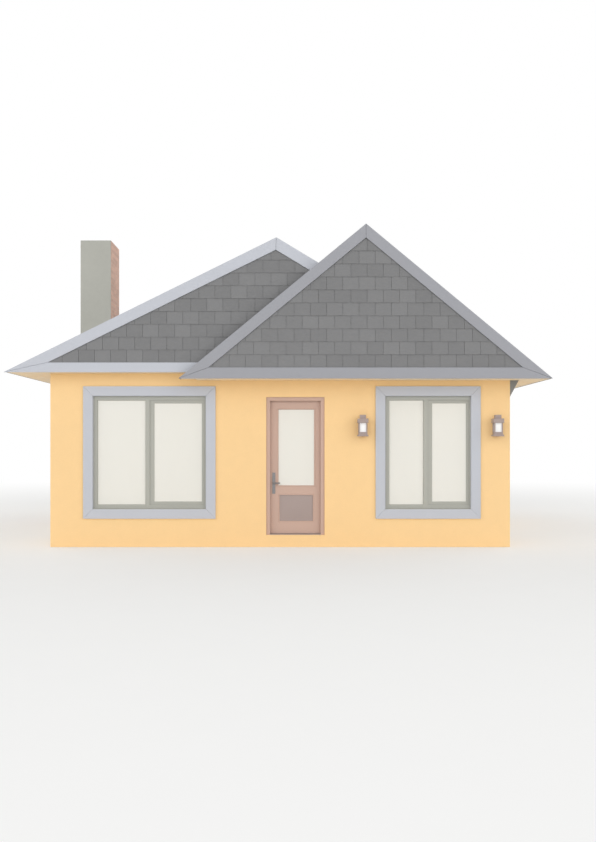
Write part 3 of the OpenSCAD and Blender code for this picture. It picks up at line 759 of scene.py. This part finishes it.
def layFlashing():
    parts = newParts()
    x0, x1 = stackLow.x, stackHigh.x
    lift, thick = flashing["lift"], flashing["thick"]
    lower, upper = x0 - flashing["under"], x1 + flashing["over"]
    for face, out in ((stackLow.y, -1), (stackHigh.y, 1)):
        far = face + out * flashing["reach"]
        addSlab(parts, wideLeft, [(lower, face), (upper, face), (upper, far), (lower, far)],
                lift, lift + thick)
        foot = [onSlope(wideLeft, x, 0, 0) for x in (x0, x1 + thick)]
        outline = [*foot, foot[1] + up * flashing["height"], foot[0] + up * flashing["height"]]
        addPrism(parts, [point + back * face for point in outline],
                 [point + back * (face + out * thick) for point in outline])
    start, far = onSlope(wideLeft, x1, 0, 0).z, x1 + flashing["reach"]
    addBox(parts, (x1, stackLow.y - thick, start),
           (x1 + 2 * thick, stackHigh.y + thick, start + flashing["height"]))
    addSlab(parts, wideLeft, [(x1, stackLow.y), (far, stackLow.y), (far, stackHigh.y), (x1, stackHigh.y)],
            lift, lift + thick)
    makePiece("chimney_flashing", parts, "valley_metal", rounding=flashing["edge"])


buildChimney()
layFlashing()
print("chimney built")

# Windows: mitred surrounds, softened frames, beads round the panes and sloping sill plates
windows = {
    "mitre": 0.0008, "edge": 0.0025, "lining": 0.004,
    "step": 0.001,                    # surround, sill plate and lining each step back by this
    "bead": 0.006, "beadFace": 0.002, "beadDepth": 0.009,
    "sillBack": 0.016, "sillFront": 0.007, "sillEnd": 0.005, "sillEdge": 0.001,
    "drain": (0.032, 0.009, 0.003),   # width, height and depth of the drain covers
    "drainIn": 0.2, "drainUp": 0.03,  # where they sit on the frame's lower bar
}


def faced(box):
    # a flat box on an outer wall: where it faces, its width's direction, its outline and its depths
    low, high = box
    size, middle = high - low, (low + high) / 2
    side, axis = (across, back) if size.x > size.y else (back, across)
    out = axis * math.copysign(1, middle.dot(axis))
    outline = (side.dot(low), side.dot(high), low.z, high.z)
    return out, side, outline, sorted((out.dot(low), out.dot(high)))


def buildWindows(group):
    casing, sills = newParts(), newParts()
    trims, frames = looseBoxes(group + "_trims"), looseBoxes(group + "_frames")
    step = windows["step"]
    for trim in trims:
        out, side, outer, depths = faced(trim)
        inner, frameDepths = faced(nearest(frames, (trim[0] + trim[1]) / 2))[2:]
        addRing(casing, out, side, up, [(outer, inner)] * 2, depths, windows["mitre"])
        face, front = frameDepths[1], depths[1] - step
        lined = (inner, grown(inner, -windows["lining"]))
        addRing(casing, out, side, up, [lined, lined], (face, front - step))
        profile = [(face - step, 0.0), (front, 0.0), (front, windows["sillFront"]),
                   (face - step, windows["sillBack"])]
        ends = [[side * a + out * depth + up * (inner[2] + height) for depth, height in profile]
                for a in (inner[0] + windows["sillEnd"], inner[1] - windows["sillEnd"])]
        addPrism(sills, *ends)
        width, height, depth = windows["drain"]
        for a in (inner[0] + windows["drainIn"], inner[1] - windows["drainIn"] - width):
            b = inner[2] + windows["drainUp"]
            low = rectangle(out, side, up, (a, a + width, b, b + height), face)
            addPrism(sills, low, [corner + out * depth for corner in low])
    makePiece(group + "_casings", casing, "pale_boards", replaced=[group + "_trims"],
              rounding=windows["edge"])
    makePiece(group + "_sills_and_drains", sills, "window_paint", rounding=windows["sillEdge"])
    softened(group + "_frames", windows["edge"])
    softened(group + "_sashes", windows["edge"])


def layBeads():
    parts = newParts()
    for pane in looseBoxes("window_panes"):
        out, side, outer, depths = faced(pane)
        outlines = [(outer, grown(outer, -windows["bead"])), (outer, grown(outer, -windows["beadFace"]))]
        for near, far in ((depths[1], depths[1] + windows["beadDepth"]),
                          (depths[0], depths[0] - windows["beadDepth"])):
            addRing(parts, out, side, up, outlines, (near, far))
    makePiece("glazing_beads", parts, "window_paint")


buildWindows("front_window")
buildWindows("side_window")
layBeads()
print("windows built")

# Door
door = {
    "edge": 0.002, "plateEdge": 0.0025, "bead": 0.006, "beadFace": 0.002,
    "moulding": 0.018, "mouldingRise": 0.006, "mouldingSlope": 0.005, "mitre": 0.0004,
    "fieldInset": 0.035, "fieldSlope": 0.022, "fieldRise": 0.005,
    "ribs": 3, "ribWidth": 0.005, "ribHeight": 0.0025, "ribInset": 0.01, "ribEdge": 0.0008,
    # the board inside the threshold
    "sillThick": 0.006, "sillGap": 0.001, "sillLap": 0.02, "sillEdge": 0.002,
}
hardware = {
    # profiles of (radius, height)
    "screw": [(0, 0), (0.0045, 0), (0.0045, 0.0006), (0.003, 0.0016), (0, 0.002)],
    "rose": [(0.0112, 0), (0.018, 0), (0.018, 0.0025), (0.0155, 0.0045), (0.0112, 0.0045)],
    "plateScrewIn": 0.018,     # from the plate's ends
    "lockBelow": 0.075,        # under the lever
    "lockRadius": 0.0085, "lockProud": 0.0022, "tongue": 0.0095, "tongueWidth": 0.0085,
    "flap": 0.004,             # thickness of the hinges' flaps
    "flapHeight": 0.06,
    "flapScrewSide": 0.011, "flapScrewIn": 0.014,   # from a flap's free edge and ends
}


def addMoulding(parts, out, outline, face):
    # a flat moulding with sloping edges round an opening, on a face at that depth
    width, slope = door["moulding"], door["mouldingSlope"]
    low = (grown(outline, width), outline)
    high = (grown(outline, width - slope), grown(outline, slope / 2))
    addRing(parts, out, across, up, [low, high], (face, face + door["mouldingRise"]), door["mitre"])


def buildDoor():
    for node in ("door_frame", "door_threshold", "door_leaf"):
        softened(node, door["edge"])
    softened("door_handle_plates", door["plateEdge"])
    for node in ("door_lever", "door_hinge_posts", "door_hinge_sleeves"):
        softened(node)

    leafLow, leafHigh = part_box("door_leaf")
    glassLow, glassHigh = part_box("door_glass")
    panelLow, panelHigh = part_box("door_lower_panel")
    glass = (glassLow.x, glassHigh.x, glassLow.z, glassHigh.z)
    panel = (panelLow.x, panelHigh.x, panelLow.z, panelHigh.z)
    mouldings, panels = newParts(), newParts()
    addBox(panels, panelLow, panelHigh)
    for out, leafFace, glassFace, panelFace in ((-back, -leafLow.y, -glassLow.y, -panelLow.y),
                                                (back, leafHigh.y, glassHigh.y, panelHigh.y)):
        addMoulding(mouldings, out, glass, leafFace)
        addMoulding(mouldings, out, panel, leafFace)
        bead = [(glass, grown(glass, -door["bead"])), (glass, grown(glass, -door["beadFace"]))]
        addRing(mouldings, out, across, up, bead, (glassFace, leafFace))
        foot = grown(panel, -door["fieldInset"])
        top = grown(panel, -(door["fieldInset"] + door["fieldSlope"]))
        addPrism(panels, rectangle(out, across, up, foot, panelFace),
                 rectangle(out, across, up, top, panelFace + door["fieldRise"]))
    makePiece("door_mouldings", mouldings, "door_paint", "door")
    makePiece("door_raised_panel", panels, "door_panel", "door", ["door_lower_panel"])

    low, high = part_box("door_threshold")
    ribs, inset, half = newParts(), door["ribInset"], door["ribWidth"] / 2
    for i in range(door["ribs"]):
        y = low.y + (leafLow.y - low.y) * (i + 0.5) / door["ribs"]
        addBox(ribs, (low.x + inset, y - half, high.z),
               (high.x - inset, y + half, high.z + door["ribHeight"]))
    makePiece("threshold_ribs", ribs, "door_panel", rounding=door["ribEdge"])
    wallLow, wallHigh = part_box("front_wall_under_door")
    sill, gap = newParts(), door["sillGap"]
    addBox(sill, (wallLow.x + gap, high.y + gap, wallHigh.z),
           (wallHigh.x - gap, wallHigh.y + door["sillLap"], wallHigh.z + door["sillThick"]))
    makePiece("inner_sill_board", sill, "door_panel", rounding=door["sillEdge"])


def fitHardware():
    plateLow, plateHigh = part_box("door_handle_plates")
    leverLow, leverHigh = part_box("door_lever")
    x, leverZ = (plateLow.x + plateHigh.x) / 2, (leverLow.z + leverHigh.z) / 2
    radius, proud = hardware["lockRadius"], hardware["lockProud"]
    screwIn, half = hardware["plateScrewIn"], hardware["tongueWidth"] / 2
    parts = newParts()
    for out, face in ((-back, -plateLow.y), (back, plateHigh.y)):
        for z in (plateLow.z + screwIn, plateHigh.z - screwIn):
            addTurned(parts, Vector((x, 0, z)) + out * face, out, hardware["screw"])
        addTurned(parts, Vector((x, 0, leverZ)) + out * face, out, hardware["rose"], steps=32)
        keyZ = leverZ - hardware["lockBelow"]
        disc = [(0, 0), (radius, 0), (radius, proud), (0, proud)]
        addTurned(parts, Vector((x, 0, keyZ)) + out * face, out, disc)
        near, far = sorted((out.y * face, out.y * (face + proud)))
        addBox(parts, (x - half, near, keyZ - radius - hardware["tongue"]),
               (x + half, far, keyZ - radius / 2))
    makePiece("door_plate_fittings", parts, "fittings", "door")
    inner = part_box("door_leaf")[1].y + hardware["flap"]
    for node, body, end, toward, name in (("door_hinge_posts", "house", 1, -1, "hinge_post_screws"),
                                          ("door_hinge_sleeves", "door", 0, 1, "hinge_sleeve_screws")):
        parts = newParts()
        for box in looseBoxes(node):
            x = box[end].x + toward * hardware["flapScrewSide"]
            low, high = box[0].z, min(box[1].z, box[0].z + hardware["flapHeight"])
            for z in (low + hardware["flapScrewIn"], high - hardware["flapScrewIn"]):
                addTurned(parts, Vector((x, inner, z)), back, hardware["screw"], steps=16)
        makePiece(name, parts, "fittings", body)


buildDoor()
fitHardware()
print("door built")

# Lamps
lampRims = {
    "out": 0.002, "height": 0.008, "in": 0.01, "glassRim": 0.003,
    "drop": 0.0015,      # below the edges of the cap and the foot
    "edge": 0.001, "bodyEdge": 0.003,
}


def buildLamps():
    softened("wall_lamps", lampRims["bodyEdge"])
    parts = newParts()
    for low, high in looseBoxes("lamp_glasses"):
        middle = (low + high) / 2
        lampBox = nearest(looseBoxes("wall_lamps"), middle)
        half = (lampBox[1].x - lampBox[0].x) / 2
        square = (middle.x - half, middle.x + half, middle.y - half, middle.y + half)
        hole = grown(square, -lampRims["in"])
        for z in (high.z - lampRims["drop"], lampBox[0].z - lampRims["drop"]):
            ring = (grown(square, lampRims["out"]), hole)
            addRing(parts, up, across, back, [ring, ring], (z, z + lampRims["height"]))
        glass = (low.x, high.x, low.y, high.y)
        for z in (low.z, high.z - lampRims["height"] / 2):
            ring = (grown(glass, lampRims["glassRim"]), glass)
            addRing(parts, up, across, back, [ring, ring], (z, z + lampRims["height"] / 2))
    makePiece("lamp_rims", parts, "lamp_metal", rounding=lampRims["edge"])


buildLamps()
print("lamps built")

# Stage, light and camera
studio = {
    "world": 0.59,     # light from all round
    "lamps": {         # azimuth, elevation, light on a surface that faces the lamp
        "front_left_lamp": (-45, 12, 0.325),
        "front_right_lamp": (45, 12, 0.325),
        "rear_right_lamp": (135, 12, 0.325),
        "rear_left_lamp": (225, 12, 0.325),
    },
    "softness": 60,    # degrees
    "floor": "#f1f1ef",
    "floorShare": 0.3,           # how far the floor's colour is drawn to the backdrop's everywhere
    "floorEdge": (8.0, 26.0),    # where it starts to fade into the backdrop, and ends
    "floorSize": 400.0,          # from the house to the floor's end
    "floorDrop": 0.002,
    "speckle": (0.5, 0.01),      # size in metres, and change of brightness
}


def seenDirectly(tree):
    # 1 for the camera and in gloss and glass, 0 for the light on the house
    path = addNode(tree, "LightPath").outputs
    first = {0: path["Is Camera Ray"], 1: path["Is Glossy Ray"]}
    seen = addNode(tree, "Math", first, operation="MAXIMUM").outputs[0]
    both = {0: seen, 1: path["Is Transmission Ray"]}
    return addNode(tree, "Math", both, operation="MAXIMUM").outputs[0]


def makeWorld():
    world = bpy.data.worlds.new("studio")
    world.use_nodes = True
    tree = world.node_tree
    tree.nodes.clear()
    light = addNode(tree, "Background", {"Color": (1, 1, 1, 1), "Strength": studio["world"]})
    shown = addNode(tree, "Background", {"Color": (1, 1, 1, 1), "Strength": 1.0})
    both = addNode(tree, "MixShader", {0: seenDirectly(tree), 1: light.outputs[0], 2: shown.outputs[0]})
    addNode(tree, "OutputWorld", {"Surface": both.outputs[0]})
    bpy.context.scene.world = world


def makeLamps():
    for name, (azimuth, elevation, light) in studio["lamps"].items():
        lamp = bpy.data.lights.new(name, "SUN")
        lamp.energy = math.pi * light
        lamp.angle = math.radians(studio["softness"])
        holder = bpy.data.objects.new(name, lamp)
        turn, tilt = math.radians(azimuth), math.radians(elevation)
        level = math.cos(tilt)
        toward = Vector((math.sin(turn) * level, -math.cos(turn) * level, math.sin(tilt)))
        holder.rotation_mode = "QUATERNION"
        holder.rotation_quaternion = toward.to_track_quat("Z", "Y")
        bpy.context.scene.collection.objects.link(holder)


def makeFloor():
    # a pale floor that fades into the white backdrop away from the house
    material = bpy.data.materials.new("studio_floor")
    material.use_nodes = True
    tree = material.node_tree
    shader = tree.nodes["Principled BSDF"]
    where = addNode(tree, "TexCoord").outputs["Object"]
    size, amount = studio["speckle"]
    speckle = patternValue(tree, where, "cloud", size, even)
    colour = addNode(tree, "HueSaturation", {"Color": linearColour(studio["floor"]),
                                             "Value": spread(tree, 1.0, [(speckle, amount)])})
    tree.links.new(colour.outputs[0], shader.inputs["Base Color"])
    shader.inputs["Roughness"].default_value = 0.9
    shader.inputs["Specular IOR Level"].default_value = 0.1
    far = addNode(tree, "VectorMath", {0: where}, operation="LENGTH").outputs["Value"]
    near, edge = studio["floorEdge"]
    fade = addNode(tree, "MapRange", {"Value": far, "From Min": near, "From Max": edge},
                   interpolation_type="SMOOTHSTEP").outputs[0]
    least = addNode(tree, "MapRange", {"Value": fade, "To Min": studio["floorShare"]}).outputs[0]
    share = addNode(tree, "Math", {0: least, 1: seenDirectly(tree)}, operation="MULTIPLY").outputs[0]
    white = addNode(tree, "Emission", {"Color": (1, 1, 1, 1), "Strength": 1.0})
    both = addNode(tree, "MixShader", {0: share, 1: shader.outputs[0], 2: white.outputs[0]})
    tree.links.new(both.outputs[0], tree.nodes["Material Output"].inputs["Surface"])
    half = studio["floorSize"]
    mesh = bpy.data.meshes.new("studio_floor")
    mesh.from_pydata([(-half, -half, 0), (half, -half, 0), (half, half, 0), (-half, half, 0)], [],
                     [(0, 1, 2, 3)])
    mesh.materials.append(material)
    floor = bpy.data.objects.new("studio_floor", mesh)
    floor.location.z = -studio["floorDrop"]
    bpy.context.scene.collection.objects.link(floor)


frontView = {
    "place": (0.251, -18.8, 1.6),
    "lens": 38.6,
    "sensor": 36,
    "farthest": 1000,
    "imageHeight": 842,
    "vanishing": (-2, 25),   # pixels right of and below the middle of the image
}


def makeCamera():
    lens = bpy.data.cameras.new("front_view")
    lens.lens = frontView["lens"]
    lens.sensor_width = frontView["sensor"]
    lens.clip_end = frontView["farthest"]
    lens.shift_x = -frontView["vanishing"][0] / frontView["imageHeight"]
    lens.shift_y = frontView["vanishing"][1] / frontView["imageHeight"]
    camera = bpy.data.objects.new("front_view", lens)
    camera.location = frontView["place"]
    camera.rotation_euler = (math.radians(90), 0, 0)
    bpy.context.scene.collection.objects.link(camera)
    bpy.context.scene.camera = camera


makeWorld()
makeLamps()
makeFloor()
makeCamera()
bpy.context.scene.view_settings.view_transform = "Standard"
print("stage set")
